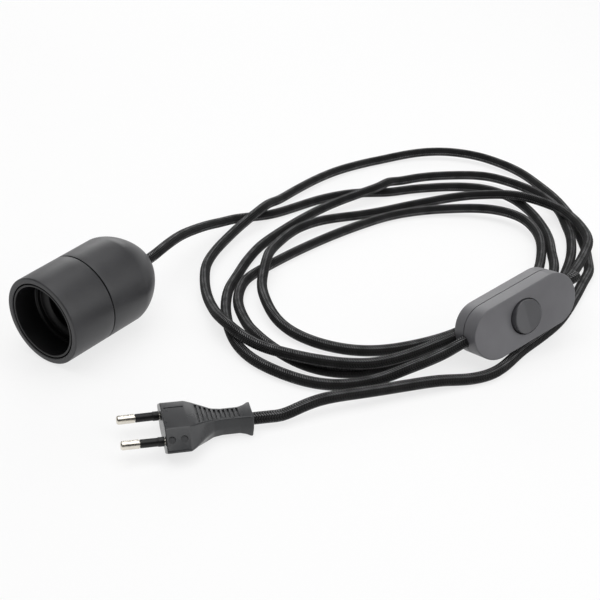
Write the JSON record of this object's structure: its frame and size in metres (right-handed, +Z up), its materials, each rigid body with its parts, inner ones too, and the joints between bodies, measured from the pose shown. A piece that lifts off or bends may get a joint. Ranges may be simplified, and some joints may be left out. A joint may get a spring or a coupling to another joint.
{
  "type": "table lamp cord set",
  "caption": "Lamp holder with an E27 lamp thread on a coiled fabric cord, with an inline rocker switch and a flat two-pin mains plug.",
  "frame": {"origin": "on the surface the set lies on, under the middle of the lamp holder", "axes": "+Y along the lamp holder's axis from its mouth to its cord end, +Z up"},
  "size_m": [0.2234, 0.3721, 0.0468],
  "materials": {
    "charcoal_shell": "satin charcoal moulding",
    "black_inside": "matt black moulding",
    "grey_switch": "satin mid grey moulding",
    "plug_plastic": "satin dark grey moulding",
    "brass": "plain brass",
    "nickel": "nickel plated",
    "steel": "zinc plated",
    "braid": "charcoal braid with pale flecks",
    "brown_core": "brown core insulation",
    "blue_core": "blue core insulation"
  },
  "bodies": {
    "cord_set": {"centre_contact": "nickel", "cord_grip_screw": "black_inside", "cord_holder_to_switch": "braid", "cord_switch_to_plug": "braid", "core_live_high": "brown_core", "core_live_holder": "brown_core", "core_live_low": "brown_core", "core_neutral_high": "blue_core", "core_neutral_holder": "blue_core", "core_neutral_low": "blue_core", "fixed_contact_line": "brass", "fixed_contact_load": "brass", "holder_cap": "charcoal_shell", "holder_skirt": "charcoal_shell", "housing_screw_high": "steel", "housing_screw_low": "steel", "neutral_link": "brass", "pin_sleeve_left": "black_inside", "pin_sleeve_right": "black_inside", "plug_body": "plug_plastic", "plug_pin_left": "nickel", "plug_pin_right": "nickel", "rocker_axle": "steel", "side_contact": "nickel", "switch_back_shell": "grey_switch", "switch_cord_grip_high": "black_inside", "switch_cord_grip_low": "black_inside", "switch_front_shell": "grey_switch", "switch_screw_line": "steel", "switch_screw_load": "steel", "switch_screw_neutral_in": "steel", "switch_screw_neutral_out": "steel", "terminal_block": "black_inside", "terminal_clamp_live": "brass", "terminal_clamp_neutral": "brass", "terminal_screw_live": "steel", "terminal_screw_neutral": "steel", "thread_sleeve": "black_inside"},
    "rocker": {"rocker_button": "grey_switch", "contact_bridge": "brass"}
  },
  "joints": [
    {"name": "rocker_hinge", "type": "hinge", "parent": "cord_set", "child": "rocker", "pos_m": [0.18505, 0.10189, 0.02322], "axis": [-0.3305, -0.0701, 0.9412], "range_deg": [-14, 0]}
  ]
}
